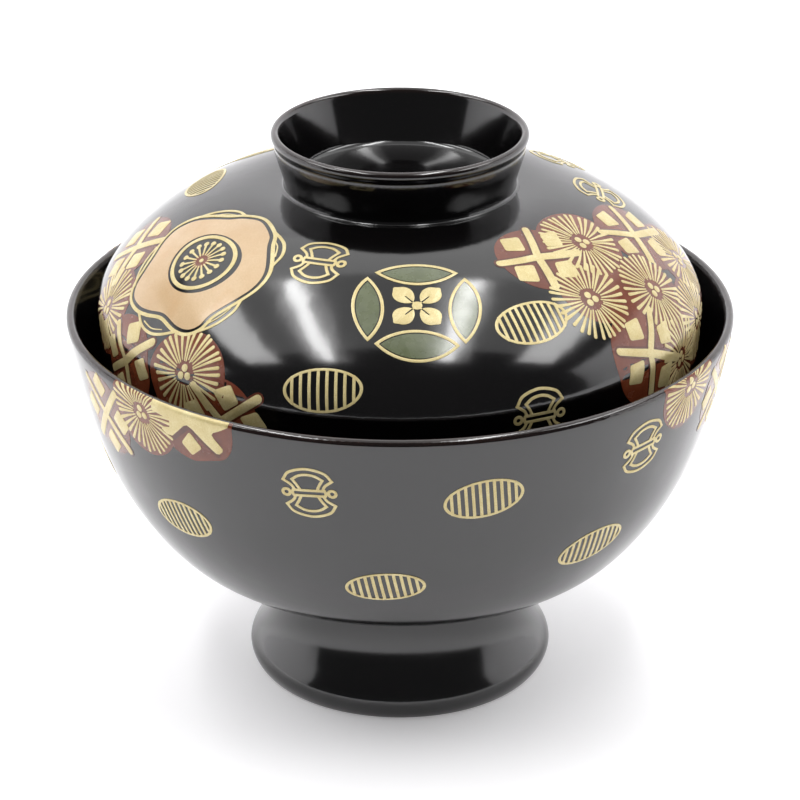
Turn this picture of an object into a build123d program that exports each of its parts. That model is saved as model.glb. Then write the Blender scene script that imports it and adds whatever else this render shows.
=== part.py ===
"""A lidded soup bowl of turned wood under black lacquer.

Two parts come apart: the bowl on its foot ring, and the domed lid with its grip ring.
Each is a turned wooden core, a band of hemp cloth glued over each thin edge, and coats
of lacquer that cover the wood and the cloth. Every layer is a closed solid of its own.

Millimetres, +Z up, origin at the middle of the foot's base. All solids are turned about
Z, so they are drawn as half sections: a point is (radius, height).
"""

import os

from build123d import *

os.makedirs("parts", exist_ok=True)

# Layers
COAT = 0.35
CLOTH = 0.2
UNDER_CLOTH = COAT + CLOTH

# Bowl
RIM_RADIUS = 67.0
LIP_ROUND = 1.0
LIP_Z = 78.3
BOWL_FLOOR_Z = 28.6
NECK_RADIUS = 26.8
NECK_Z = 25.0
NECK_FILLET = 1.6
RIM_CLOTH_DEPTH = 9.0

# Foot ring
FOOT_OUTER_RADIUS = 29.6
FOOT_INNER_RADIUS = 26.9
FOOT_EDGE_ROUND = 0.8
RECESS_Z = 22.4
FOOT_CLOTH_HEIGHT = 6.0

# Lid
LID_RADIUS = 60.5
LID_WIDEST_Z = 80.5
LID_EDGE_RADIUS = 59.95
LID_EDGE_ROUND = 1.0
LID_EDGE_Z = 66.6
LID_CEILING_Z = 101.0
LID_CLOTH_DEPTH = 8.0

# Grip ring on the lid
CREASE_RADIUS = 23.1
CREASE_Z = 104.5
CREASE_FILLET = 0.7
GRIP_RADIUS = 25.5
GRIP_TOP_Z = 116.0
GRIP_WALL = 1.75
BEAD_STANDS_OUT = 0.5
BEAD_HEIGHT = 2.6
WELL_RADIUS = 20.6
WELL_Z = 105.2
WELL_DISH = 0.5
GRIP_CLOTH_DEPTH = 4.0

# Points on a spline that runs beside another curve
INSET_POINTS = 12

# A quarter turn's guides stand this share of its radius from its ends
QUARTER_GUIDE = 0.55


def inset(edge, depth):
    """The edge, or the curve that runs `depth` to its right."""
    if depth == 0:
        return edge

    def beside(t):
        along = edge % t
        return edge @ t + Vector(along.Y, -along.X) * depth

    if edge.geom_type == GeomType.LINE:
        return Line(beside(0), beside(1))
    points = [beside(i / INSET_POINTS) for i in range(INSET_POINTS + 1)]
    return Spline(*points, tangents=(edge % 0, edge % 1))


def quarter(before, end, direction, radius):
    """A quarter turn that goes on from an edge and arrives at `end` in a direction."""
    start = before @ 1
    guide = radius * QUARTER_GUIDE
    leaving = start + (before % 1) * guide
    arriving = Vector(*end) - Vector(*direction) * guide
    return Bezier(start, leaving, arriving, end)


def turned(outline):
    """The solid that a closed outline sweeps as it turns about Z.

    The section is made outside the builder, because a sketch would merge its edges, and
    each stretch of the outline keeps its own face.
    """
    section = Plane.XZ * make_face(outline)
    with BuildPart() as turning:
        revolve(section, axis=Axis.Z, clean=False)
    return turning.part


def turned_layer(edges, near, far):
    """The ring between a chain of edges at one depth and at another."""
    near_side = [inset(edge, near) for edge in edges]
    far_side = [inset(edge, far) for edge in edges]
    ends = [
        Line(near_side[-1] @ 1, far_side[-1] @ 1),
        Line(near_side[0] @ 0, far_side[0] @ 0),
    ]
    return turned([*near_side, *far_side, *ends])


def turned_core(stretches):
    """The solid inside stretches of outline, each at its own depth."""
    sides = [[inset(edge, depth) for edge in edges] for edges, depth in stretches]
    outline = [edge for side in sides for edge in side]
    for side, following in zip(sides, sides[1:] + sides[:1]):
        outline.append(Line(side[-1] @ 1, following[0] @ 0))
    return turned(outline)


def cut_at(edge, distance):
    """The two stretches of an edge, before and after a distance along it."""
    share = distance / edge.length
    return edge.trim(0, share), edge.trim(share, 1)


# ---------------------------------------------------------------- bowl outline
# From the axis inside the bowl, over the lip, down the outside and under the foot.

bowl_wall = Spline(
    (0, BOWL_FLOOR_Z),
    (33.0, 30.0),
    (48.6, 39.0),
    (56.8, 53.6),
    (60.1, 66.2),
    (RIM_RADIUS - 2 * LIP_ROUND, LIP_Z),
    tangents=((1, 0), (0.42, 1)),
)
lip_top = (RIM_RADIUS - LIP_ROUND, LIP_Z + LIP_ROUND)
lip_inside = quarter(bowl_wall, lip_top, (1, 0), LIP_ROUND)
lip_outside = quarter(lip_inside, (RIM_RADIUS, LIP_Z), (0, -1), LIP_ROUND)

neck = Vector(NECK_RADIUS, NECK_Z)
belly_guide = Vector(53.3, 27.2)
foot_guide = Vector(24.8, 3.1)
belly_end = neck + (belly_guide - neck).normalized() * NECK_FILLET
foot_start = neck + (foot_guide - neck).normalized() * NECK_FILLET

belly = Bezier(
    (RIM_RADIUS, LIP_Z),
    (RIM_RADIUS, 76.0),
    (60.5, 50.0),
    (64.5, 44.0),
    (42.0, 30.9),
    belly_guide,
    belly_end,
)
neck_fillet = Bezier(belly_end, neck, foot_start)
foot_wall = Bezier(
    foot_start, foot_guide, (35.8, 8.7), (FOOT_OUTER_RADIUS + 1.0, 0), (FOOT_OUTER_RADIUS, 0)
)
foot_base = Line(foot_wall @ 1, (FOOT_INNER_RADIUS + FOOT_EDGE_ROUND, 0))
foot_edge = quarter(foot_base, (FOOT_INNER_RADIUS, FOOT_EDGE_ROUND), (0, 1), FOOT_EDGE_ROUND)
recess = Bezier(
    (FOOT_INNER_RADIUS, FOOT_EDGE_ROUND),
    (FOOT_INNER_RADIUS, 6.0),
    (22.6, 12.0),
    (25.0, RECESS_Z),
    (13.0, RECESS_Z),
    (0, RECESS_Z),
)

wall_below_cloth, wall_cloth = cut_at(bowl_wall, bowl_wall.length - RIM_CLOTH_DEPTH)
belly_cloth, belly_below_cloth = cut_at(belly, RIM_CLOTH_DEPTH)
foot_above_cloth, foot_cloth = cut_at(foot_wall, foot_wall.length - FOOT_CLOTH_HEIGHT)
recess_cloth, recess_above_cloth = cut_at(recess, FOOT_CLOTH_HEIGHT)

rim_band = [wall_cloth, lip_inside, lip_outside, belly_cloth]
foot_band = [foot_cloth, foot_base, foot_edge, recess_cloth]


# ---------------------------------------------------------------- lid outline
# From the axis in the well of the grip ring, over its bead, down the dome, round the
# edge and back to the axis under the dome.

bead_z = GRIP_TOP_Z - GRIP_WALL / 2
well_wall = Line((WELL_RADIUS + 0.2, WELL_Z + 1.2), (GRIP_RADIUS - GRIP_WALL, bead_z))
well_floor = Spline(
    (0, WELL_Z - WELL_DISH),
    (WELL_RADIUS - 1.4, WELL_Z),
    well_wall @ 0,
    tangents=((1, 0), well_wall % 0),
)
bead_top = (GRIP_RADIUS - GRIP_WALL / 2, GRIP_TOP_Z)
bead_inside = quarter(well_wall, bead_top, (1, 0), GRIP_WALL / 2)
bead_outside = quarter(bead_inside, (GRIP_RADIUS, bead_z), (0, -1), GRIP_WALL / 2)

crease = Vector(CREASE_RADIUS, CREASE_Z)
grip_guide = Vector(CREASE_RADIUS - 0.2, 107.0)
dome_guide = Vector(41.4, 105.5)
grip_end = crease + (grip_guide - crease).normalized() * CREASE_FILLET
dome_start = crease + (dome_guide - crease).normalized() * CREASE_FILLET

under_bead = (GRIP_RADIUS - BEAD_STANDS_OUT, GRIP_TOP_Z - BEAD_HEIGHT)
bead_side = Bezier(
    (GRIP_RADIUS, bead_z),
    (GRIP_RADIUS, bead_z - 0.9),
    (under_bead[0] + 0.05, under_bead[1] + 0.8),
    under_bead,
)
grip_wall = Bezier(under_bead, (under_bead[0] - 0.15, 111.0), grip_guide, grip_end)
crease_fillet = Bezier(grip_end, crease, dome_start)
skirt = Line((LID_RADIUS, LID_WIDEST_Z), (LID_EDGE_RADIUS, LID_EDGE_Z))
shoulder_guide = skirt @ 0 - (skirt % 0) * 8.0
dome = Bezier(dome_start, dome_guide, shoulder_guide, skirt @ 0)
edge_bottom = (LID_EDGE_RADIUS - LID_EDGE_ROUND, LID_EDGE_Z - LID_EDGE_ROUND)
edge_inner = (LID_EDGE_RADIUS - 2 * LID_EDGE_ROUND, LID_EDGE_Z)
edge_outside = quarter(skirt, edge_bottom, (-1, 0), LID_EDGE_ROUND)
edge_inside = quarter(edge_outside, edge_inner, (0, 1), LID_EDGE_ROUND)
ceiling = Bezier(edge_inside @ 1, (edge_inner[0], 92.5), (45.0, LID_CEILING_Z), (0, LID_CEILING_Z))

well_below_cloth, well_cloth = cut_at(well_wall, well_wall.length - GRIP_CLOTH_DEPTH)
grip_cloth, grip_below_cloth = cut_at(grip_wall, GRIP_CLOTH_DEPTH - BEAD_HEIGHT)
skirt_above_cloth, skirt_cloth = cut_at(skirt, skirt.length - LID_CLOTH_DEPTH)
ceiling_cloth, ceiling_above_cloth = cut_at(ceiling, LID_CLOTH_DEPTH)

grip_band = [well_cloth, bead_inside, bead_outside, bead_side, grip_cloth]
edge_band = [skirt_cloth, edge_outside, edge_inside, ceiling_cloth]


# ---------------------------------------------------------------- bowl

bowl_core = turned_core(
    [
        ([wall_below_cloth], COAT),
        (rim_band, UNDER_CLOTH),
        ([belly_below_cloth, neck_fillet, foot_above_cloth], COAT),
        (foot_band, UNDER_CLOTH),
        ([recess_above_cloth], COAT),
    ]
)
bowl_core.label = "bowl_core"

bowl_rim_cloth = turned_layer(rim_band, COAT, UNDER_CLOTH)
bowl_rim_cloth.label = "bowl_rim_cloth"

foot_ring_cloth = turned_layer(foot_band, COAT, UNDER_CLOTH)
foot_ring_cloth.label = "foot_ring_cloth"

bowl_inside_lacquer = turned_layer([wall_below_cloth, wall_cloth, lip_inside], 0, COAT)
bowl_inside_lacquer.label = "bowl_inside_lacquer"

bowl_outside_lacquer = turned_layer(
    [lip_outside, belly_cloth, belly_below_cloth, neck_fillet], 0, COAT
)
bowl_outside_lacquer.label = "bowl_outside_lacquer"

foot_ring_lacquer = turned_layer([foot_above_cloth, *foot_band, recess_above_cloth], 0, COAT)
foot_ring_lacquer.label = "foot_ring_lacquer"


# ---------------------------------------------------------------- lid

lid_core = turned_core(
    [
        ([well_floor, well_below_cloth], COAT),
        (grip_band, UNDER_CLOTH),
        ([grip_below_cloth, crease_fillet, dome, skirt_above_cloth], COAT),
        (edge_band, UNDER_CLOTH),
        ([ceiling_above_cloth], COAT),
    ]
)
lid_core.label = "lid_core"

grip_ring_cloth = turned_layer(grip_band, COAT, UNDER_CLOTH)
grip_ring_cloth.label = "grip_ring_cloth"

lid_edge_cloth = turned_layer(edge_band, COAT, UNDER_CLOTH)
lid_edge_cloth.label = "lid_edge_cloth"

grip_ring_lacquer = turned_layer(
    [well_floor, well_below_cloth, *grip_band, grip_below_cloth], 0, COAT
)
grip_ring_lacquer.label = "grip_ring_lacquer"

lid_outside_lacquer = turned_layer(
    [crease_fillet, dome, skirt_above_cloth, skirt_cloth, edge_outside], 0, COAT
)
lid_outside_lacquer.label = "lid_outside_lacquer"

lid_inside_lacquer = turned_layer([edge_inside, ceiling_cloth, ceiling_above_cloth], 0, COAT)
lid_inside_lacquer.label = "lid_inside_lacquer"


# ---------------------------------------------------------------- export

export_step(bowl_core, "parts/bowl_core.step")
export_step(bowl_rim_cloth, "parts/bowl_rim_cloth.step")
export_step(foot_ring_cloth, "parts/foot_ring_cloth.step")
export_step(bowl_inside_lacquer, "parts/bowl_inside_lacquer.step")
export_step(bowl_outside_lacquer, "parts/bowl_outside_lacquer.step")
export_step(foot_ring_lacquer, "parts/foot_ring_lacquer.step")
export_step(lid_core, "parts/lid_core.step")
export_step(grip_ring_cloth, "parts/grip_ring_cloth.step")
export_step(lid_edge_cloth, "parts/lid_edge_cloth.step")
export_step(grip_ring_lacquer, "parts/grip_ring_lacquer.step")
export_step(lid_outside_lacquer, "parts/lid_outside_lacquer.step")
export_step(lid_inside_lacquer, "parts/lid_inside_lacquer.step")
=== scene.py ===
"""Looks of a lidded soup bowl: black lacquer with pictures in gold, red, green and amber.

Lengths are in metres where Blender takes them. Drawn pictures are in millimetres: u to the
right and v up, from the middle of the picture, as seen from outside the bowl.
"""

import math
import random

import bpy
import numpy as np
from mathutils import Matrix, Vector
from mathutils.geometry import delaunay_2d_cdt


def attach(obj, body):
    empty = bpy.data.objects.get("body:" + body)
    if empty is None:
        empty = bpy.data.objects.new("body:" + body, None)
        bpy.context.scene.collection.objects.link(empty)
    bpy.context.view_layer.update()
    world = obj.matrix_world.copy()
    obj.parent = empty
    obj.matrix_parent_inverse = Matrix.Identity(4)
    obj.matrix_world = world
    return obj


MM = 0.001

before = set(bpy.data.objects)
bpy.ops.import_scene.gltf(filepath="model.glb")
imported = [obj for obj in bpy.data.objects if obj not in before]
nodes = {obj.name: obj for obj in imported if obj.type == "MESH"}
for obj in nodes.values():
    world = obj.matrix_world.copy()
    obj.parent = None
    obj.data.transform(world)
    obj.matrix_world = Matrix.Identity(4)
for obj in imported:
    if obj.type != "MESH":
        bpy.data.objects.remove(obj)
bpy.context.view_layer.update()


# ---------------------------------------------------------------- camera and stage

CAMERA_PLACE = (0.0, -0.620, 0.33942)
CAMERA_DOWN = 24.464
CAMERA_LENS = 150.24
SENSOR = 36.0

# The white sheets: a table out to the sides and front, its sweep up at the back, two wings.
FLOOR_HALF = 1.6
FLOOR_FRONT = 0.34
SWEEP_START = 0.75
SWEEP_RADIUS = 0.35
SWEEP_TOP = 1.15
SWEEP_STEPS = 12
WING_OUT = 1.3
WING_FRONT = -0.48
WING_BOTTOM = 0.001
WING_TOP = 0.8
TABLE_GLOW = 0.24
ROOM_GLOW = 0.09

LAMP_HEIGHT = 1.1
GLOW_HEIGHT = 1.11
CEILING_HEIGHT = 1.15


def make_camera():
    data = bpy.data.cameras.new("camera")
    data.lens = CAMERA_LENS
    data.sensor_width = SENSOR
    data.clip_start = 0.01
    camera = bpy.data.objects.new("camera", data)
    camera.location = CAMERA_PLACE
    camera.rotation_euler = (math.radians(90 - CAMERA_DOWN), 0, 0)
    bpy.context.scene.collection.objects.link(camera)
    bpy.context.scene.camera = camera


def stage_sheet(name, line, low, high, along, paper):
    """A white sheet: a line (distance, height) drawn out from one place to another."""
    points = []
    for distance, height in line:
        for place in (low, high):
            flat = (place, distance) if along == "x" else (distance, place)
            points.append((*flat, height))
    faces = [(2 * i, 2 * i + 1, 2 * i + 3, 2 * i + 2) for i in range(len(line) - 1)]
    mesh = bpy.data.meshes.new(name)
    mesh.from_pydata(points, [], faces)
    mesh.shade_smooth()
    sheet = bpy.data.objects.new(name, mesh)
    bpy.context.scene.collection.objects.link(sheet)
    mesh.materials.append(paper)


def make_stage(paper):
    """The white table that curves up into a backdrop, between two white wings."""
    line = [(-FLOOR_FRONT, 0.0), (-0.1, 0.0), (0.0, 0.0), (SWEEP_START, 0.0)]
    for step in range(1, SWEEP_STEPS + 1):
        angle = math.radians(90 * step / SWEEP_STEPS)
        out = SWEEP_START + SWEEP_RADIUS * math.sin(angle)
        line.append((out, SWEEP_RADIUS * (1 - math.cos(angle))))
    back = SWEEP_START + SWEEP_RADIUS
    line.append((back, SWEEP_TOP))
    stage_sheet("sweep", line, -FLOOR_HALF, FLOOR_HALF, "x", paper)
    for name, side in (("wing_left", -WING_OUT), ("wing_right", WING_OUT)):
        upright = [(side, WING_BOTTOM), (side, WING_TOP)]
        stage_sheet(name, upright, WING_FRONT, back, "y", paper)


def make_lamp(name, x, y, size, radiance, height=LAMP_HEIGHT):
    """A rectangular soft light of a given brightness that faces straight down."""
    data = bpy.data.lights.new(name, "AREA")
    data.shape = "RECTANGLE"
    data.size, data.size_y = size
    data.energy = radiance * math.pi * size[0] * size[1]
    lamp = bpy.data.objects.new(name, data)
    lamp.location = (x, y, height)
    lamp.rotation_euler = Vector((0, 0, -1)).to_track_quat("-Z", "Y").to_euler()
    bpy.context.scene.collection.objects.link(lamp)


def make_lights():
    """Long lamps under a soft ceiling, in a room that is dim but for the camera's view."""
    make_lamp("ceiling", 0.0, -0.045, (2.6, 0.79), 0.76, CEILING_HEIGHT)
    make_lamp("ceiling_back", 0.0, 0.80, (2.6, 0.90), 1.55, CEILING_HEIGHT)
    make_lamp("bar_left", -0.43, -0.12, (0.085, 0.88), 13.0)
    make_lamp("bar_right", 0.27, -0.15, (0.085, 0.84), 13.0)
    make_lamp("glow_left", -0.43, -0.12, (0.24, 0.94), 1.6, GLOW_HEIGHT)
    make_lamp("glow_right", 0.27, -0.15, (0.24, 0.90), 1.6, GLOW_HEIGHT)
    make_lamp("bar_far_left", -1.02, -0.10, (0.40, 0.85), 5.0)
    make_lamp("bar_far_right", 0.98, -0.10, (0.40, 0.85), 5.0)
    world = bpy.data.worlds.new("dim_room")
    world.use_nodes = True
    tree = world.node_tree
    background = tree.nodes["Background"]
    background.inputs["Color"].default_value = (0.97, 0.975, 1.0, 1.0)
    seen = tree.nodes.new("ShaderNodeLightPath")
    strength = tree.nodes.new("ShaderNodeMapRange")
    strength.inputs["To Min"].default_value = ROOM_GLOW
    strength.inputs["To Max"].default_value = 1.0
    tree.links.new(seen.outputs["Is Camera Ray"], strength.inputs["Value"])
    tree.links.new(strength.outputs["Result"], background.inputs["Strength"])
    bpy.context.scene.world = world
    bpy.context.scene.view_settings.view_transform = "Standard"


# ---------------------------------------------------------------- materials

# The heights in metres from which, and at which, black lacquer turns dark brown at an edge: partly
# lacquer worn thin, partly a painted highlight tint on the rounded edge.
LIP_WEAR_AND_SHEEN = (0.0778, 0.0793)
FOOT_WEAR_AND_SHEEN = (0.0012, 0.0)
GRIP_WEAR_AND_SHEEN = (0.1150, 0.1160)
LID_EDGE_WEAR_AND_SHEEN = (0.0670, 0.0656)


class Shader:
    """A material's nodes, with short calls to add and link them."""

    def __init__(self, name):
        self.material = bpy.data.materials.new(name)
        self.material.use_nodes = True
        self.tree = self.material.node_tree
        self.surface = self.tree.nodes["Principled BSDF"]
        self.place = self.add("ShaderNodeTexCoord").outputs["Object"]

    def add(self, kind, **inputs):
        node = self.tree.nodes.new(kind)
        for name, value in inputs.items():
            self.feed(node.inputs[name.replace("_", " ")], value)
        return node

    def feed(self, socket, value):
        if isinstance(value, bpy.types.NodeSocket):
            self.tree.links.new(value, socket)
        elif isinstance(value, tuple) and len(value) == 3 and socket.type == "RGBA":
            socket.default_value = (*value, 1.0)
        else:
            socket.default_value = value

    def put(self, name, value):
        self.feed(self.surface.inputs[name], value)

    def noise(self, per_metre, detail=2.0, place=None):
        found = self.add("ShaderNodeTexNoise", Scale=per_metre, Detail=detail)
        self.feed(found.inputs["Vector"], place or self.place)
        return found.outputs["Fac"]

    def grains(self, per_metre):
        """Cells of random grey, as the grains of a powder."""
        cells = self.add("ShaderNodeTexVoronoi", Scale=per_metre, Vector=self.place)
        grey = self.add("ShaderNodeRGBToBW", Color=cells.outputs["Color"])
        return grey.outputs[0]

    def span(self, value, low, high, to_low=0.0, to_high=1.0):
        found = self.add("ShaderNodeMapRange", Value=value)
        found.inputs["From Min"].default_value = low
        found.inputs["From Max"].default_value = high
        found.inputs["To Min"].default_value = to_low
        found.inputs["To Max"].default_value = to_high
        return found.outputs[0]

    def mix(self, share, first, second):
        found = self.tree.nodes.new("ShaderNodeMix")
        found.data_type = "RGBA"
        self.feed(found.inputs[0], share)
        self.feed(found.inputs[6], first)
        self.feed(found.inputs[7], second)
        return found.outputs[2]

    def maths(self, operation, first, second):
        found = self.tree.nodes.new("ShaderNodeMath")
        found.operation = operation
        self.feed(found.inputs[0], first)
        self.feed(found.inputs[1], second)
        return found.outputs[0]

    def height(self):
        parts = self.add("ShaderNodeSeparateXYZ", Vector=self.place)
        return parts.outputs["Z"]

    def bump(self, value, distance, strength=1.0, before=None):
        found = self.add("ShaderNodeBump", Height=value, Distance=distance)
        found.inputs["Strength"].default_value = strength
        if before is not None:
            self.feed(found.inputs["Normal"], before)
        return found.outputs[0]


def paper_white():
    """The matt white table: almost even, with a very faint mottle."""
    shader = Shader("paper_white")
    mottle = shader.noise(9.0, 3.0)
    shader.put("Base Color", shader.mix(mottle, (0.90, 0.895, 0.905), (0.93, 0.925, 0.935)))
    shader.put("Roughness", 0.85)
    shader.put("Specular IOR Level", 0.2)
    shader.put("Emission Color", (1.0, 0.99, 1.0))
    shader.put("Emission Strength", TABLE_GLOW)
    return shader.material


def black_lacquer(name, edge_from, edge_to):
    """Polished black lacquer, dark brown towards an edge at a height: worn thin, and a painted
    highlight tint.
    """
    shader = Shader(name)
    cloud = shader.noise(38.0, 4.0)
    black = shader.mix(cloud, (0.0010, 0.0009, 0.0011), (0.0026, 0.0021, 0.0022))
    # The brown band at the edge is partly lacquer worn thin and partly painted highlight: it
    # lightens the black where a rounded edge catches the light.
    edge = shader.span(shader.height(), edge_from, edge_to)
    uneven = shader.span(shader.noise(60.0, 2.0), 0.3, 0.7, 0.55, 1.0)
    wear_and_sheen = shader.maths("MULTIPLY", edge, uneven)
    shader.put("Base Color", shader.mix(wear_and_sheen, black, (0.016, 0.0062, 0.0040)))
    polish = shader.span(shader.noise(26.0, 5.0), 0.3, 0.7, 0.105, 0.150)
    specks = shader.span(shader.noise(2600.0, 2.0), 0.66, 0.8, 0.0, 0.10)
    shader.put("Roughness", shader.maths("ADD", polish, specks))
    shader.put("IOR", 1.70)
    slow = shader.bump(shader.noise(55.0, 1.0), 0.00003)
    peel = shader.bump(shader.noise(700.0, 2.0), 0.0000035, before=slow)
    shader.put("Normal", peel)
    return shader.material


def gold_maki_e():
    """Gold powder sprinkled on wet lacquer and burnished: warm, soft and a little patchy."""
    shader = Shader("gold_maki_e")
    patchy = shader.span(shader.noise(240.0, 4.0), 0.3, 0.7)
    broad = shader.mix(patchy, (0.58, 0.475, 0.215), (0.73, 0.640, 0.345))
    grains = shader.grains(6500.0)
    fine = shader.span(grains, 0.15, 0.95, 0.0, 0.5)
    shader.put("Base Color", shader.mix(fine, broad, (0.46, 0.335, 0.110)))
    shader.put("Metallic", shader.span(grains, 0.0, 1.0, 0.15, 0.40))
    shader.put("Roughness", shader.span(shader.noise(900.0, 3.0), 0.3, 0.7, 0.36, 0.54))
    shader.put("Coat Weight", 0.35)
    shader.put("Coat Roughness", 0.16)
    powder = shader.bump(grains, 0.000012, 0.6)
    shader.put("Normal", shader.bump(shader.noise(1500.0, 2.0), 0.00001, before=powder))
    return shader.material


def red_lacquer():
    """Red-brown lacquer ground with darker clouds and a faint dust of gold."""
    shader = Shader("red_lacquer")
    cloud = shader.span(shader.noise(210.0, 5.0), 0.3, 0.72)
    body = shader.mix(cloud, (0.120, 0.0240, 0.0090), (0.185, 0.0440, 0.0170))
    dust = shader.span(shader.noise(4200.0, 1.0), 0.70, 0.78)
    shader.put("Base Color", shader.mix(dust, body, (0.27, 0.12, 0.045)))
    shader.put("Roughness", shader.span(shader.noise(320.0, 3.0), 0.3, 0.7, 0.16, 0.30))
    shader.put("Coat Weight", 0.30)
    shader.put("Coat Roughness", 0.13)
    shader.put("Normal", shader.bump(shader.noise(1300.0, 3.0), 0.000006))
    return shader.material


def dark_contour():
    """The deep brown line that is left beside the gold bars."""
    shader = Shader("dark_contour")
    cloud = shader.noise(300.0, 4.0)
    shader.put("Base Color", shader.mix(cloud, (0.070, 0.0150, 0.0070), (0.110, 0.0260, 0.0110)))
    shader.put("Roughness", shader.span(cloud, 0.3, 0.7, 0.16, 0.28))
    shader.put("Coat Weight", 0.30)
    shader.put("Coat Roughness", 0.13)
    shader.put("Normal", shader.bump(shader.noise(1400.0, 2.0), 0.000005))
    return shader.material


def green_lacquer():
    """Grey-green coloured powder under clear lacquer."""
    shader = Shader("green_lacquer")
    cloud = shader.span(shader.noise(330.0, 5.0), 0.3, 0.7)
    body = shader.mix(cloud, (0.068, 0.088, 0.032), (0.108, 0.130, 0.054))
    grains = shader.span(shader.grains(5200.0), 0.1, 0.9, 0.0, 0.35)
    shader.put("Base Color", shader.mix(grains, body, (0.125, 0.140, 0.072)))
    shader.put("Roughness", shader.span(shader.noise(500.0, 3.0), 0.3, 0.7, 0.20, 0.36))
    shader.put("Coat Weight", 0.9)
    shader.put("Coat Roughness", 0.13)
    shader.put("Normal", shader.bump(shader.grains(5200.0), 0.000006, 0.5))
    return shader.material


def amber_lacquer():
    """Pale amber powder ground, sprinkled unevenly with orange and gold."""
    shader = Shader("amber_lacquer")
    cloud = shader.span(shader.noise(75.0, 5.0), 0.32, 0.68)
    body = shader.mix(cloud, (0.52, 0.340, 0.165), (0.60, 0.430, 0.250))
    warm = shader.span(shader.noise(130.0, 4.0), 0.55, 0.75, 0.0, 0.45)
    glow = shader.mix(warm, body, (0.53, 0.275, 0.095))
    grains = shader.span(shader.grains(4800.0), 0.1, 0.9, 0.0, 0.28)
    shader.put("Base Color", shader.mix(grains, glow, (0.38, 0.245, 0.100)))
    shader.put("Metallic", 0.12)
    shader.put("Coat Weight", 0.7)
    shader.put("Coat Roughness", 0.13)
    shader.put("Roughness", shader.span(shader.noise(420.0, 3.0), 0.3, 0.7, 0.30, 0.46))
    shader.put("Normal", shader.bump(shader.grains(4800.0), 0.000008, 0.6))
    return shader.material


def turned_wood():
    """Pale close-grained hardwood, its growth rings cut across by the lathe."""
    shader = Shader("turned_wood")
    rings = shader.add("ShaderNodeTexWave", Scale=95.0, Distortion=5.0, Detail=3.0)
    rings.bands_direction = "X"
    rings.inputs["Detail Scale"].default_value = 1.4
    shader.feed(rings.inputs["Vector"], shader.place)
    grain = rings.outputs["Fac"]
    pores = shader.span(shader.noise(2400.0, 2.0), 0.62, 0.75, 0.0, 0.5)
    body = shader.mix(grain, (0.46, 0.28, 0.135), (0.61, 0.41, 0.225))
    shader.put("Base Color", shader.mix(pores, body, (0.22, 0.115, 0.05)))
    shader.put("Roughness", shader.span(grain, 0.0, 1.0, 0.52, 0.68))
    shader.put("Normal", shader.bump(grain, 0.00004))
    return shader.material


def hemp_cloth():
    """Plain-woven hemp soaked with raw lacquer."""
    shader = Shader("hemp_cloth")

    def threads(direction):
        found = shader.add("ShaderNodeTexWave", Scale=330.0, Distortion=0.6, Detail=1.0)
        found.bands_direction = direction
        shader.feed(found.inputs["Vector"], shader.place)
        return found.outputs["Fac"]

    around = shader.maths("MAXIMUM", threads("X"), threads("Y"))
    weave = shader.maths("MULTIPLY", around, shader.span(threads("Z"), 0.0, 1.0, 0.45, 1.0))
    stain = shader.noise(120.0, 4.0)
    thread = shader.mix(stain, (0.24, 0.145, 0.070), (0.36, 0.245, 0.135))
    shader.put("Base Color", shader.mix(weave, (0.055, 0.028, 0.014), thread))
    shader.put("Roughness", shader.span(weave, 0.0, 1.0, 0.45, 0.8))
    shader.put("Normal", shader.bump(weave, 0.00010))
    return shader.material


def dress(node_names, material):
    """Gives CAD nodes their finish in place of the plain one that they came with."""
    for name in node_names:
        mesh = nodes[name].data
        mesh.materials.clear()
        mesh.materials.append(material)


# ---------------------------------------------------------------- turned surfaces


def bezier(points, count=240):
    """Points along a Bezier curve of any degree."""
    degree = len(points) - 1
    along = np.linspace(0, 1, count)[:, None]
    curve = np.zeros((count, 2))
    for i, point in enumerate(points):
        weight = math.comb(degree, i) * (1 - along) ** (degree - i) * along**i
        curve += weight * np.array(point, float)
    return curve


class Surface:
    """The outline (radius, height) of a turned surface, followed from its top down.

    The decoration gets a row of points at each height in rows, where the outline turns
    sharply.
    """

    def __init__(self, outline, top, bottom, rows=()):
        self.outline = outline
        steps = np.hypot(*np.diff(outline, axis=0).T)
        self.down = np.concatenate([[0], np.cumsum(steps)])
        self.limits = (self.depth(top), self.depth(bottom))
        self.rows = [*self.limits, *(self.depth(height) for height in rows)]

    def depth(self, height):
        """The distance down the outline to a height."""
        return float(np.interp(-height, -self.outline[:, 1], self.down))

    def radius(self, depth):
        return np.interp(depth, self.down, self.outline[:, 0])

    def lift(self, azimuth, depth, relief):
        """Points that stand off the surface by a relief, and the surface's normals there."""
        radius = self.radius(depth)
        height = np.interp(depth, self.down, self.outline[:, 1])
        reach = 0.25
        before = np.clip(depth - reach, 0, self.down[-1])
        after = np.clip(depth + reach, 0, self.down[-1])
        fall_r = self.radius(after) - self.radius(before)
        fall_z = np.interp(after, self.down, self.outline[:, 1])
        fall_z = fall_z - np.interp(before, self.down, self.outline[:, 1])
        size = np.hypot(fall_r, fall_z)
        out_r, out_z = -fall_z / size, fall_r / size
        sine, cosine = np.sin(azimuth), -np.cos(azimuth)
        normals = np.stack([out_r * sine, out_r * cosine, out_z], 1)
        points = np.stack([radius * sine, radius * cosine, height], 1)
        return points + normals * relief, normals


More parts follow.
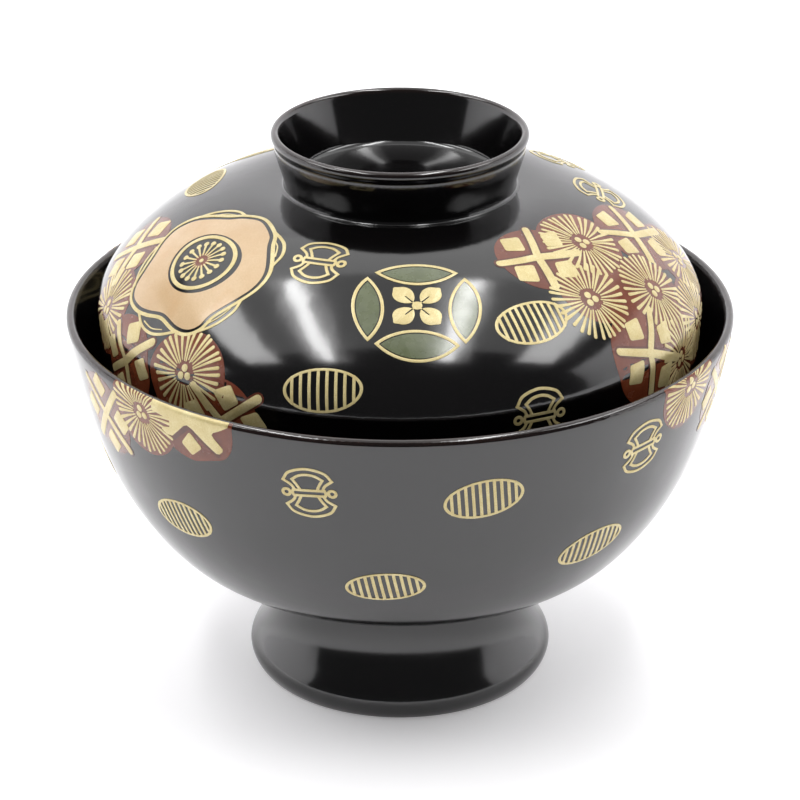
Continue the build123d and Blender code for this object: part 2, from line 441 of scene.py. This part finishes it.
# The two outlines follow the same curves as the CAD's lid and bowl, in millimetres.
LID = Surface(
    np.vstack([
        bezier([(23.80, 104.54), (41.40, 105.50), (60.816, 88.494), (60.50, 80.50)]),
        bezier([(60.50, 80.50), (59.95, 66.60)], 60)[1:],
    ]),
    top=104.4,
    bottom=67.4,
)
LIP_CENTRE = (66.0, 78.3)
LIP_TURN = [
    (LIP_CENTRE[0] + math.cos(math.radians(a)), LIP_CENTRE[1] + math.sin(math.radians(a)))
    for a in range(84, 0, -6)
]
BOWL = Surface(
    np.vstack([
        LIP_TURN,
        bezier([
            (67.0, 78.3), (67.0, 76.0), (60.5, 50.0), (64.5, 44.0), (42.0, 30.9), (53.3, 27.2),
            (28.395, 25.132),
        ]),
    ]),
    top=79.2,
    bottom=27.0,
    rows=(79.1, 78.93, 78.72, 78.5, 78.3, 78.0),
)


# ---------------------------------------------------------------- drawn shapes

# A shape is a list of loops in millimetres. Where loops overlap, they leave a hole.


def turn(points, degrees):
    """The points turned anticlockwise about the origin."""
    angle = math.radians(degrees)
    cosine, sine = math.cos(angle), math.sin(angle)
    points = np.asarray(points, float)
    return points @ np.array([[cosine, sine], [-sine, cosine]])


def moved(shapes, offset=(0, 0), degrees=0.0, scale=(1, 1)):
    """The shapes scaled, then turned anticlockwise, then shifted."""
    return [
        [turn(np.asarray(loop) * scale, degrees) + offset for loop in shape] for shape in shapes
    ]


def ring_of(radius, count=24, centre=(0, 0), squash=1.0):
    """A circle of points, or an oval where squash is below one."""
    angles = np.linspace(0, 2 * math.pi, count, endpoint=False)
    across = centre[0] + radius * np.cos(angles)
    return np.stack([across, centre[1] + radius * squash * np.sin(angles)], 1)


def disc(radius, centre=(0, 0), count=24):
    return [ring_of(radius, count, centre)]


def smooth(points, count=8, closed=False):
    """A Catmull-Rom curve through the points."""
    points = [np.array(p, float) for p in points]
    total = len(points)
    if closed:
        wanted = [[points[(i + k) % total] for k in (-1, 0, 1, 2)] for i in range(total)]
    else:
        ends = [2 * points[0] - points[1], *points, 2 * points[-1] - points[-2]]
        wanted = [ends[i : i + 4] for i in range(total - 1)]
    curve = []
    for a, b, c, d in wanted:
        for t in np.linspace(0, 1, count, endpoint=False):
            bend = (2 * a - 5 * b + 4 * c - d) * t**2 + (3 * b - a - 3 * c + d) * t**3
            curve.append(0.5 * (2 * b + (c - a) * t + bend))
    if not closed:
        curve.append(points[-1])
    return np.array(curve)


def sides_of(line, closed):
    """Unit vectors to the left of each point of a line, stretched at its corners."""
    line = np.asarray(line, float)
    forward = np.roll(line, -1, axis=0) - line
    if not closed:
        forward[-1] = forward[-2]
    forward /= np.linalg.norm(forward, axis=1)[:, None]
    backward = np.roll(forward, 1, axis=0)
    if not closed:
        backward[0] = forward[0]
    left = np.stack([-forward[:, 1] - backward[:, 1], forward[:, 0] + backward[:, 0]], 1)
    left /= np.linalg.norm(left, axis=1)[:, None]
    stretch = 1 / np.maximum(left[:, 1] * forward[:, 0] - left[:, 0] * forward[:, 1], 0.6)
    return left * stretch[:, None]


def stroke(line, width, end_width=None, closed=False):
    """A brush line along points, with round ends."""
    line = np.asarray(line, float)
    side = sides_of(line, closed)
    if closed:
        half = width / 2
        return [line + side * half, line - side * half]
    last = width if end_width is None else end_width
    half = np.linspace(width, last, len(line))[:, None] / 2
    left, right = line + side * half, line - side * half
    caps = []
    for end, at in ((line[-1], left[-1]), (line[0], right[0])):
        arm = at - end
        caps.append([end + turn(arm, -angle) for angle in (36, 72, 108, 144)])
    return [np.vstack([left, caps[0], right[::-1], caps[1]])]


def rounded(corners, cut):
    """The polygon with each corner eased off over a length."""
    corners = [np.array(c, float) for c in corners]
    eased = []
    for index, corner in enumerate(corners):
        to_last = corners[index - 1] - corner
        to_next = corners[(index + 1) % len(corners)] - corner
        to_last *= cut / np.linalg.norm(to_last)
        to_next *= cut / np.linalg.norm(to_next)
        eased += [corner + to_last, corner + (to_last + to_next) * 0.28, corner + to_next]
    return np.array(eased)


def soft_square(side, degrees=0.0, centre=(0, 0), skew=0.0):
    """A square with rounded corners, as if cut freehand."""
    half = side / 2
    corners = [(half, half + skew), (-half, half - skew), (-half, -half), (half, -half)]
    return [turn(rounded(corners, side * 0.13), degrees) + centre]


# ---------------------------------------------------------------- motifs

LINE = 0.55
BAR_WIDTHS = (1.50, 1.80)
CONTOUR_WIDTHS = (2.35, 2.65)


def koban(bars=10):
    """An oval coin with bars across it."""
    long_half, short_half = 7.8, 4.4
    rim, bar_width = 0.62, 0.60
    barred = 13.8
    tuck = 0.28
    squash = short_half / long_half
    inner = long_half - rim
    shapes = [[ring_of(long_half, 64, squash=squash), ring_of(inner, 64, squash=squash * 0.965)]]
    for bar in range(bars):
        x = (bar - (bars - 1) / 2) * barred / bars
        reach = short_half * math.sqrt(1 - (x / long_half) ** 2) - tuck
        shapes.append(stroke([(x, -reach), (x, 0), (x, reach)], bar_width))
    return {"gold": shapes}


def fundo():
    """A pair of scale weights, fan against fan, with a ring at each side."""
    waist_half, waist_up = 3.1, 0.62
    ring_at, ring_outer, ring_inner = 4.45, 1.02, 0.42
    shapes = []
    for up in (1, -1):
        fan = smooth([(-4.75, 2.85), (-3.4, 4.65), (0, 5.55), (3.4, 4.65), (4.75, 2.85)], 6)
        left = smooth([(-2.75, 0.72), (-3.3, 1.75), (-4.75, 2.85)], 5)
        right = smooth([(4.75, 2.85), (3.3, 1.75), (2.75, 0.72)], 5)
        outer = np.vstack([left[:-1], fan[:-1], right])
        window_top = smooth([(-2.95, 3.05), (-1.6, 3.95), (0, 4.25), (1.6, 3.95), (2.95, 3.05)], 4)
        window = np.vstack([[(-1.75, 0.95)], [(-2.25, 1.95)], window_top, [(2.25, 1.95)]])
        window = np.vstack([window, [(1.75, 0.95)]])
        for line in (outer, window):
            shapes.append(stroke(line * (1, up), LINE))
        level = waist_up * up
        shapes.append(stroke([(-waist_half, level), (0, level), (waist_half, level)], LINE))
    for side in (1, -1):
        corner = waist_half * side
        shapes.append(stroke([(corner, waist_up), (3.25 * side, 0), (corner, -waist_up)], LINE))
        seat = (ring_at * side, 0)
        shapes.append([ring_of(ring_outer, 24, seat), ring_of(ring_inner, 14, seat)])
    return {"gold": shapes}


def lens(half_long, half_wide, inset=0.0, count=18):
    """A pointed oval between two arcs, along u."""
    radius = (half_long**2 + half_wide**2) / (2 * half_wide) - inset
    centre = radius + inset - half_wide
    reach = math.acos(min(1.0, centre / radius))
    angles = np.linspace(-reach, reach, count)
    upper = np.stack([radius * np.sin(angles), radius * np.cos(angles) - centre], 1)
    return np.vstack([upper, (-upper)[1:-1]])


def shippo():
    """Four leaf shapes in a circle, with a four-petalled flower in the middle."""
    gold, green = [], []
    leaves = [
        (0.0, 9.25, 7.9, 2.95), (-9.25, 0.0, 7.9, 3.1), (0.0, -8.25, 8.0, 3.6),
        (9.1, 0.0, 7.9, 3.25),
    ]
    flower = np.array((0.0, 1.1))
    for quarter, (x, y, half_long, half_wide) in enumerate(leaves):
        angle = 90 * quarter
        leaf = [[lens(half_long, half_wide), lens(half_long, half_wide, 0.62)]]
        gold += moved(leaf, (x, y), angle)
        green += moved([[lens(half_long, half_wide, 0.86)]], (x, y), angle)
        half = np.array([(1.15, 0.0), (1.7, 1.0), (2.5, 1.62), (3.5, 1.98), (4.4, 1.86)])
        tip = np.array([(5.1, 1.45), (5.55, 0.85), (6.05, 0.25), (6.15, 0.0)])
        half = np.vstack([half, tip])
        petal = smooth(np.vstack([half, (half * (1, -1))[-2:0:-1]]), 3, closed=True)
        vein = np.array([(0.9, 0.16), (3.0, 0.13), (3.35, 0.0), (3.0, -0.13), (0.9, -0.16)])
        gold += moved([[petal, vein]], flower, angle + 45)
    gold.append(disc(0.98, tuple(flower), 20))
    return {"gold": gold, "green": green}


# The blossom's edge, anticlockwise from its top, and the loops that stand off its notches.
BLOSSOM = [
    (1.1, 14.0), (-2.9, 12.6), (-5.8, 10.3), (-10.2, 7.5), (-13.8, 4.6), (-15.9, 1.0),
    (-15.7, -2.0), (-13.9, -5.4), (-12.7, -8.6), (-11.7, -11.9), (-9.6, -13.7), (-6.0, -14.2),
    (-2.4, -13.7), (2.2, -12.7), (7.2, -13.6), (10.4, -13.4), (12.3, -11.8), (12.9, -9.0),
    (15.0, -4.9), (16.2, -1.4), (15.8, 1.6), (13.9, 4.5), (9.5, 8.9), (6.5, 11.9),
]
BLOSSOM_LOOPS = [
    [(6.6, 13.1), (9.4, 12.1), (12.0, 10.6), (14.3, 7.9), (15.2, 4.6)],
    [(16.5, -4.4), (17.0, -6.8), (16.2, -9.4), (14.8, -11.4), (12.7, -13.2)],
    [(8.2, -14.6), (4.6, -16.5), (1.4, -17.3), (-1.9, -16.9), (-5.0, -15.3)],
    [(-12.3, -12.3), (-14.5, -9.8), (-15.7, -7.4), (-16.3, -4.4)],
    [(-3.6, 13.3), (-6.4, 13.0), (-9.2, 11.4), (-12.2, 8.4), (-14.2, 5.4)],
]


def plum():
    """A five-lobed blossom panel ringed by two lines that part at the notches."""
    edge = smooth(BLOSSOM, 6, closed=True)
    outward = -sides_of(edge, True)
    line = edge + outward * 1.05
    gold = [stroke(line, 0.72, closed=True)]
    middle = edge.mean(0)
    for loop in BLOSSOM_LOOPS:
        gold.append(stroke(smooth(loop, 5), 0.58))
        leaf = middle + (np.array(loop[1:-1]) - middle) * 0.935
        gold.append(stroke(smooth(leaf, 5), 0.20, 0.30))
    amber = [[edge, ring_of(9.0, 72, (0.6, -0.2), 0.82)]]
    gold.append([ring_of(8.0, 72, (0.3, -0.1), 0.86), ring_of(7.1, 72, (0.3, -0.1), 0.85)])
    for petal in range(17):
        spread = [(1.5, 0), (2.8, 0), (4.4, 0)]
        stalk = [stroke(spread, 0.30, 0.50), disc(0.58, (4.62, 0), 14)]
        gold += moved(stalk, degrees=petal * 360 / 17 + 6)
    gold.append(disc(0.5, count=14))
    red = [disc(2.0, count=28)]
    return {"gold": gold, "amber": amber, "red": red, "whole": [[line]]}


def pine(seed, ground=9.2, shift=(0.0, 0.0), rays=33):
    """A burst of needles round three dots, on a round ground that may lie to one side."""
    needle_from, needle_to = 2.45, 8.55
    thin, thick = 0.26, 0.74
    dot_radius = 0.74
    pick = random.Random(seed)
    gold = []
    for ray in range(rays):
        angle = 360 * ray / rays + pick.uniform(-1.8, 1.8)
        near = needle_from + pick.uniform(-0.15, 0.35)
        far = needle_to + pick.uniform(-0.45, 0.35)
        bend = pick.uniform(-0.12, 0.12)
        line = [(near, 0), ((near + far) / 2, bend), (far - 0.35, 0)]
        gold += moved([stroke(line, thin, thick)], degrees=angle)
    for dot in range(3):
        gold.append(disc(dot_radius, tuple(turn([(1.0, 0)], 100 + 120 * dot)[0]), 16))
    return {"gold": gold, "ground": [disc(ground, shift, 48)]}


def lattice(arms, squares, skew, ground=8.7):
    """Two crossed bars with a square in each corner.

    Each arm is (direction, length), anticlockwise from the one at the right, and each
    square is (direction, distance, lean, side). Directions and leans are in degrees.
    """
    ends = [turn([(length, 0)], direction)[0] for direction, length in arms]
    gold, contour = [], []
    for near, far in ((2, 0), (1, 3)):
        bar = smooth([ends[near], ends[near] * 0.45, (0, 0), ends[far] * 0.45, ends[far]], 3)
        gold.append(stroke(bar, *BAR_WIDTHS))
        contour.append(stroke(bar, *CONTOUR_WIDTHS))
    for direction, distance, lean, side in squares:
        seat = turn([(distance, 0)], direction)[0]
        gold.append(soft_square(side, lean, seat, skew))
    return {"gold": gold, "contour": contour, "ground": [disc(ground, count=52)]}


def rim_bars():
    """Lattice bars that run up into a gold band under the lip, with a square between them."""
    band = [
        (-13.4, 2.6), (5.2, 2.6), (5.0, 0.6), (3.0, -0.6), (1.6, -1.3), (1.2, -1.9), (1.6, -2.6),
        (3.3, -4.6), (3.1, -5.3), (2.3, -6.0), (1.6, -6.0), (-0.9, -4.0), (-3.4, -1.8),
        (-4.5, -1.3), (-5.4, -1.7), (-7.2, -3.5), (-8.8, -5.0), (-10.2, -5.1), (-11.5, -4.3),
        (-10.9, -3.6), (-9.2, -3.2), (-9.0, -1.4), (-13.6, -0.7),
    ]
    diamond = [(-4.2, -2.7), (-6.6, -5.8), (-4.3, -8.1), (-1.6, -5.7)]
    low_side = [
        (5.9, 0.4), (5.7, -2.4), (4.9, -5.0), (3.2, -7.0), (0.4, -8.0), (-2.2, -8.8), (-4.4, -9.2),
        (-8.0, -8.3), (-12.0, -6.0),
    ]
    ground = np.vstack([[(-13.4, 2.6), (6.0, 2.6)], smooth(low_side, 4)])
    shade = [
        (-9.0, -4.9), (-7.2, -3.2), (-4.5, -0.9), (2.6, -6.3), (2.0, -7.0), (-4.2, -2.2),
        (-8.6, -6.0),
    ]
    return {
        "gold": [[np.array(band)], [rounded(diamond, 0.5)]],
        "contour": [[np.array(shade)]],
        "ground": [[ground]],
    }


# ---------------------------------------------------------------- laying motifs down

# A chart is a turned surface unrolled: azimuth times CHART across, and depth downwards.
CHART = 55.0
STEP = 0.9
FILL_STEP = 1.7
FILL_GAP = 0.55
SUNK = 0.07
WELD = 1e-5
SLIVER = 1e-7


class Spot:
    """A place on a turned surface: azimuth in degrees from the front, height, and tilt."""

    def __init__(self, surface, azimuth, height, tilt=0.0, scale=(1.0, 1.0)):
        self.surface = surface
        self.azimuth = math.radians(azimuth)
        self.depth = surface.depth(height)
        self.tilt = tilt
        self.scale = scale

    def chart(self, loop):
        """A loop of the drawing on the surface's flat chart."""
        placed = turn(densified(np.asarray(loop, float)) * self.scale, self.tilt)
        depth = self.depth - placed[:, 1]
        azimuth = self.azimuth + placed[:, 0] / self.surface.radius(depth)
        return np.stack([azimuth * CHART, -depth], 1)


def densified(loop):
    """The loop with points added where its sides are long."""
    points = []
    for here, there in zip(loop, np.roll(loop, -1, axis=0)):
        pieces = max(1, math.ceil(np.linalg.norm(there - here) / STEP))
        points += [here + (there - here) * i / pieces for i in range(pieces)]
    return np.array(points)


def inside(points, shape):
    """Which points lie in a shape, by how often its loops are crossed on the way out."""
    low = np.min([loop.min(0) for loop in shape], 0)
    high = np.max([loop.max(0) for loop in shape], 0)
    near = np.nonzero(((points >= low) & (points <= high)).all(1))[0]
    crossed = np.zeros(len(near), bool)
    px, py = points[near, 0][:, None], points[near, 1][:, None]
    for loop in shape:
        ax, ay = loop[:, 0][None], loop[:, 1][None]
        bx, by = np.roll(loop[:, 0], -1)[None], np.roll(loop[:, 1], -1)[None]
        spans = (ay > py) != (by > py)
        rise = np.where(by == ay, 1e-12, by - ay)
        crossed ^= (spans & (px < ax + (bx - ax) * (py - ay) / rise)).sum(1) % 2 == 1
    found = np.zeros(len(points), bool)
    found[near[crossed]] = True
    return found


def within_any(points, shapes):
    """Which points lie in at least one of the shapes."""
    found = np.zeros(len(points), bool)
    for shape in shapes:
        found |= inside(points, shape)
    return found


class Layer:
    """One coloured layer of the decoration, drawn on one turned surface."""

    def __init__(self, name, surface, body, relief, soft):
        self.name = name
        self.surface = surface
        self.body = body
        self.relief = relief
        self.soft = soft
        self.kept = []
        self.removed = []

    def add(self, spot, shapes):
        self.kept += [[spot.chart(loop) for loop in shape] for shape in shapes]

    def cut(self, spot, shapes):
        self.removed += [[spot.chart(loop) for loop in shape] for shape in shapes]

    def fill_points(self):
        """Points inside the wide shapes, so that they follow the curved surface."""
        every = np.vstack([loop for shape in self.kept for loop in shape])
        low, high = every.min(0), every.max(0)
        across = np.arange(low[0], high[0], FILL_STEP)
        up = np.arange(low[1], high[1], FILL_STEP)
        grid = np.stack(np.meshgrid(across, up), -1).reshape(-1, 2)
        grid = grid[within_any(grid, self.kept)]
        if len(grid) == 0:
            return grid
        cells = {}
        for point in every:
            cells.setdefault((round(point[0]), round(point[1])), []).append(point)
        clear = []
        for point in grid:
            cell = (round(point[0]), round(point[1]))
            close = [
                other
                for dx in (-1, 0, 1)
                for dy in (-1, 0, 1)
                for other in cells.get((cell[0] + dx, cell[1] + dy), [])
            ]
            if all(math.dist(point, other) > FILL_GAP for other in close):
                clear.append(point)
        return np.array(clear).reshape(-1, 2)

    def triangles(self):
        """The layer's triangles on the chart."""
        points, edges = [], []
        for shape in self.kept + self.removed:
            for loop in shape:
                first = len(points)
                count = len(loop)
                points += [Vector(p) for p in loop]
                edges += [(first + i, first + (i + 1) % count) for i in range(count)]
        every = np.array([tuple(p) for p in points])
        left, right = every[:, 0].min() - 1, every[:, 0].max() + 1
        width = right - left
        for depth in self.surface.rows:
            steps = max(2, math.ceil(width / STEP))
            first = len(points)
            points += [Vector((left + width * i / steps, -depth)) for i in range(steps + 1)]
            edges += [(first + i, first + i + 1) for i in range(steps)]
        points += [Vector(p) for p in self.fill_points()]
        found = delaunay_2d_cdt(points, edges, [], 0, WELD)
        flat = np.array([tuple(p) for p in found[0]])
        corners = np.array([face for face in found[2] if len(face) == 3])
        a, b, c = flat[corners[:, 0]], flat[corners[:, 1]], flat[corners[:, 2]]
        middles = (a + b + c) / 3
        area = (b[:, 0] - a[:, 0]) * (c[:, 1] - a[:, 1]) - (b[:, 1] - a[:, 1]) * (c[:, 0] - a[:, 0])
        keep = within_any(middles, self.kept) & (np.abs(area) > SLIVER)
        keep &= ~within_any(middles, self.removed)
        top, bottom = self.surface.limits
        keep &= (middles[:, 1] <= -top) & (middles[:, 1] >= -bottom)
        corners = corners[keep]
        turned = area[keep] < 0
        corners[turned] = corners[turned][:, ::-1]
        used, compact = np.unique(corners, return_inverse=True)
        return flat[used], compact.reshape(-1, 3)

    def build(self, material, slot):
        """A closed slab whose top follows the surface and whose bottom is sunk into it."""
        flat, corners = self.triangles()
        azimuth, depth = flat[:, 0] / CHART, -flat[:, 1]
        tops, normals = self.surface.lift(azimuth, depth, self.relief)
        bottoms, _ = self.surface.lift(azimuth, depth, -SUNK)
        count = len(tops)
        sides = {}
        for a, b, c in corners:
            for start, end in ((a, b), (b, c), (c, a)):
                if (end, start) in sides:
                    del sides[(end, start)]
                else:
                    sides[(start, end)] = True
        rim = np.array(list(sides))
        along = tops[rim[:, 1]] - tops[rim[:, 0]]
        outward = np.cross(along, normals[rim[:, 0]])
        outward /= np.maximum(np.linalg.norm(outward, axis=1)[:, None], 1e-9)
        lean = np.zeros_like(normals)
        np.add.at(lean, rim[:, 0], outward)
        np.add.at(lean, rim[:, 1], outward)
        size = np.linalg.norm(lean, axis=1)
        lean[size > 0] /= size[size > 0][:, None]
        rounded = normals + lean * self.soft
        rounded /= np.linalg.norm(rounded, axis=1)[:, None]
        faces = [tuple(map(int, face)) for face in corners]
        faces += [tuple(int(i) + count for i in face[::-1]) for face in corners]
        faces += [(int(b), int(a), int(a) + count, int(b) + count) for a, b in rim]
        mesh = bpy.data.meshes.new(self.name)
        mesh.from_pydata((np.vstack([tops, bottoms]) * MM).tolist(), [], faces)
        mesh.shade_smooth()
        split = rounded[corners].reshape(-1, 3).tolist()
        split += (-normals[corners[:, ::-1]]).reshape(-1, 3).tolist()
        for side in outward:
            split += [side.tolist()] * 4
        mesh.normals_split_custom_set(split)
        piece = bpy.data.objects.new(self.name, mesh)
        bpy.context.scene.collection.objects.link(piece)
        mesh.materials.append(material)
        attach(piece, self.body)
        return piece


# ---------------------------------------------------------------- decoration

# How far each colour stands off the lacquer, in millimetres. SOFT_LINE leans the normals at
# the edges of the gold, so that a thin line catches the light as a rounded one does.
RELIEF = {"ground": 0.030, "contour": 0.042, "amber": 0.055, "red": 0.045, "green": 0.050}
GOLD_RELIEF = 0.075
SOFT_LINE = 0.14

finishes = {}


class Decoration:
    """All the layers of one body's decoration, sorted by colour and kind."""

    def __init__(self, surface, body):
        self.surface = surface
        self.body = body
        self.layers = {}

    def layer(self, kind, colour):
        key = f"{self.body}_{kind}_{colour}"
        if key not in self.layers:
            relief = GOLD_RELIEF if colour == "gold" else RELIEF[colour]
            soft = SOFT_LINE if colour == "gold" else 0.0
            self.layers[key] = (colour, Layer(key, self.surface, self.body, relief, soft))
        return self.layers[key][1]

    def put(self, kind, drawing, azimuth, height, tilt=0.0, scale=(1.0, 1.0)):
        spot = Spot(self.surface, azimuth, height, tilt, scale)
        for colour, shapes in drawing.items():
            if colour != "whole":
                self.layer(kind, colour).add(spot, shapes)
        return spot

    def clear(self, kind, spot, shapes):
        """Keeps a kind of picture out of some shapes, where another lies over it."""
        for colour, layer in self.layers.values():
            if layer.name.startswith(f"{self.body}_{kind}_"):
                layer.cut(spot, shapes)

    def build(self):
        for colour, layer in self.layers.values():
            material, slot = finishes[colour]
            layer.build(material, slot)


# The crossed bars differ from one to the next, as drawn by hand: arms, then squares.
LATTICES = {
    "right_top": (
        ((-15, 9.6), (66, 8.3), (174, 8.4), (259, 7.4)),
        ((24, 6.9, -19, 4.0), (116, 5.5, -19, 4.0), (210, 5.8, -19, 4.1), (307, 5.9, -19, 4.0)),
        0.24,
    ),
    "right_back": (
        ((-26, 11.0), (44, 8.4), (141, 9.3), (228, 7.0)),
        ((4, 7.2, -28, 4.0), (96, 6.3, -28, 4.1), (180, 6.2, -28, 3.9), (294, 5.7, -28, 4.0)),
        0.50,
    ),
    "right_low": (
        ((-24, 11.4), (53, 9.3), (160, 8.6), (269, 8.3)),
        ((17, 6.6, -13, 3.9), (107, 5.7, -13, 4.0), (205, 5.7, -13, 4.2), (308, 8.0, -13, 4.6)),
        0.46,
    ),
    "left_low": (
        ((40, 10.6), (133, 8.0), (211, 8.4), (282, 7.6)),
        ((5, 6.5, 28, 4.0), (79, 6.5, 28, 4.2), (174, 6.4, 32, 4.1), (246, 6.5, 32, 4.1)),
        0.10,
    ),
    "left_back": (
        ((46, 8.6), (143, 8.4), (226, 8.6), (306, 8.8)),
        ((-11, 5.2, 40, 4.0), (96, 5.8, 40, 4.3), (186, 6.1, 44, 4.1), (266, 6.0, 40, 4.1)),
        0.12,
    ),
    "front_left": (
        ((38, 10.5), (138, 8.7), (215, 8.4), (312, 8.4)),
        ((9, 7.5, 36, 4.2), (75, 5.5, 36, 4.2), (176, 6.5, 38, 4.1), (262, 6.5, 38, 4.1)),
        -0.30,
    ),
    "bowl_left": (
        ((-40, 9.0), (47, 9.6), (139, 8.8), (229, 9.0)),
        ((3, 6.3, 44, 4.2), (93, 6.2, 44, 4.1), (184, 6.3, 42, 4.2), (274, 6.2, 44, 4.1)),
        0.10,
    ),
}
PLAIN = LATTICES["bowl_left"]


def lid_decoration():
    """The lid's pictures: those seen from the front, then the back's."""
    lid = Decoration(LID, "lid")
    lid.put("shippo", shippo(), 3.9, 97.1, -3.0, (1.0, 0.92))
    lid.put("fundo", fundo(), -23.7, 101.9, 2.6)
    lid.put("koban", koban(8), -14.1, 85.3, 6.5, (0.98, 0.96))
    lid.put("koban", koban(), 28.9, 93.8, 2.0)
    lid.put("fundo", fundo(), 25.6, 78.7)
    lid.put("koban", koban(), -105.2, 100.7, 8.0)
    lid.put("fundo", fundo(), 96.3, 101.0, -4.0)

    right_pines = [
        (58.5, 100.5, 9.2, (0.0, 0.0)),
        (45.7, 94.5, 8.8, (3.1, 2.6)),
        (64.9, 91.3, 9.4, (-1.5, -1.0)),
        (75.6, 81.8, 9.2, (0.0, 0.0)),
        (64.7, 78.0, 9.2, (0.0, 0.0)),
        (86.0, 90.0, 9.4, (0.0, 0.0)),
    ]
    for seed, (azimuth, height, ground, shift) in enumerate(right_pines):
        lid.put("pine", pine(seed, ground, shift), azimuth, height)
    lid.put("lattice", lattice(*LATTICES["right_top"], 8.3), 40.9, 101.0)
    lid.put("lattice", lattice(*LATTICES["right_back"], 9.4), 78.6, 97.2)
    lid.put("lattice", lattice(*LATTICES["right_low"], 10.3), 53.1, 83.5)

    lid.put("pine", pine(10, 10.0, (0.1, -1.6)), -42.7, 83.0)
    lid.put("pine", pine(11), -75.0, 84.3)
    lid.put("lattice", lattice(*LATTICES["left_low"], 9.3), -61.3, 78.9)
    lid.put("lattice", lattice(*LATTICES["left_back"]), -84.0, 93.0)
    lid.put("lattice", lattice(*LATTICES["front_left"]), -33.9, 75.7)
    blossom = plum()
    spot = lid.put("plum", blossom, -56.8, 98.1)
    lid.clear("pine", spot, blossom["whole"])
    lid.clear("lattice", spot, blossom["whole"])

    lid.put("koban", koban(), 112.0, 87.0, 5.0)
    lid.put("fundo", fundo(), 124.0, 101.5, 3.0)
    lid.put("shippo", shippo(), 151.0, 95.5, 2.0, (1.0, 0.92))
    lid.put("koban", koban(), 172.0, 84.0, 6.0)
    lid.put("fundo", fundo(), 181.0, 101.0, -3.0)
    lid.put("pine", pine(12), 200.5, 83.5)
    lid.put("pine", pine(13), 231.0, 84.0)
    lid.put("lattice", lattice(*PLAIN), 216.0, 77.5)
    spot = lid.put("plum", blossom, 214.5, 97.5)
    lid.clear("pine", spot, blossom["whole"])
    lid.clear("lattice", spot, blossom["whole"])
    lid.put("fundo", fundo(), 250.0, 80.0, -2.0)
    return lid


def bowl_decoration():
    """The bowl's pictures: those seen from the front, then the back's."""
    bowl = Decoration(BOWL, "bowl")
    bowl.put("fundo", fundo(), -15.1, 66.8, 4.0)
    bowl.put("fundo", fundo(), 45.2, 68.6, 3.0)
    bowl.put("koban", koban(), -43.4, 52.4, 9.0)
    bowl.put("koban", koban(), -2.8, 44.1, 7.0)
    bowl.put("koban", koban(), 14.1, 65.6, 7.0)
    bowl.put("koban", koban(), 39.0, 47.4, 7.0)
    bowl.put("pine", pine(20), -47.6, 75.1)
    bowl.put("lattice", rim_bars(), -32.8, 77.8)
    bowl.put("pine", pine(21), 56.5, 77.3)
    bowl.put("lattice", lattice(*PLAIN), -60.6, 69.2)

    bowl.put("lattice", lattice(*PLAIN), 72.0, 70.0)
    bowl.put("koban", koban(), 95.0, 57.0, 8.0)
    bowl.put("fundo", fundo(), 110.0, 68.5, -3.0)
    bowl.put("koban", koban(), 124.0, 47.0, 7.0)
    bowl.put("koban", koban(), 140.0, 66.0, 5.0)
    bowl.put("fundo", fundo(), 158.0, 54.0, 4.0)
    bowl.put("koban", koban(), 173.0, 67.5, 6.0)
    bowl.put("koban", koban(), 187.0, 46.0, 7.0)
    bowl.put("pine", pine(22), 206.0, 75.5)
    bowl.put("pine", pine(23), 239.0, 76.0)
    bowl.put("lattice", lattice(*PLAIN), 222.5, 70.0)
    bowl.put("koban", koban(), 214.0, 50.0, 8.0)
    bowl.put("fundo", fundo(), 247.0, 57.0, 3.0)
    bowl.put("koban", koban(), 262.0, 68.0, 6.0)
    bowl.put("koban", koban(), 281.0, 51.0, 8.0)
    return bowl


# ---------------------------------------------------------------- everything together

make_camera()
make_stage(paper_white())
make_lights()

wood = turned_wood()
hemp = hemp_cloth()
dress(["bowl_core", "lid_core"], wood)
dress(
    ["bowl_rim_cloth", "foot_ring_cloth", "grip_ring_cloth", "lid_edge_cloth"],
    hemp,
)
dress(
    ["bowl_inside_lacquer", "bowl_outside_lacquer"],
    black_lacquer("bowl_black_lacquer", *LIP_WEAR_AND_SHEEN),
)
dress(["foot_ring_lacquer"], black_lacquer("foot_black_lacquer", *FOOT_WEAR_AND_SHEEN))
dress(["grip_ring_lacquer"], black_lacquer("grip_black_lacquer", *GRIP_WEAR_AND_SHEEN))
dress(
    ["lid_outside_lacquer", "lid_inside_lacquer"],
    black_lacquer("lid_black_lacquer", *LID_EDGE_WEAR_AND_SHEEN),
)

finishes["gold"] = (gold_maki_e(), "gold_maki_e")
finishes["ground"] = (red_lacquer(), "red_lacquer")
finishes["contour"] = (dark_contour(), "red_lacquer")
finishes["red"] = finishes["ground"]
finishes["green"] = (green_lacquer(), "green_lacquer")
finishes["amber"] = (amber_lacquer(), "amber_lacquer")

lid_decoration().build()
bowl_decoration().build()
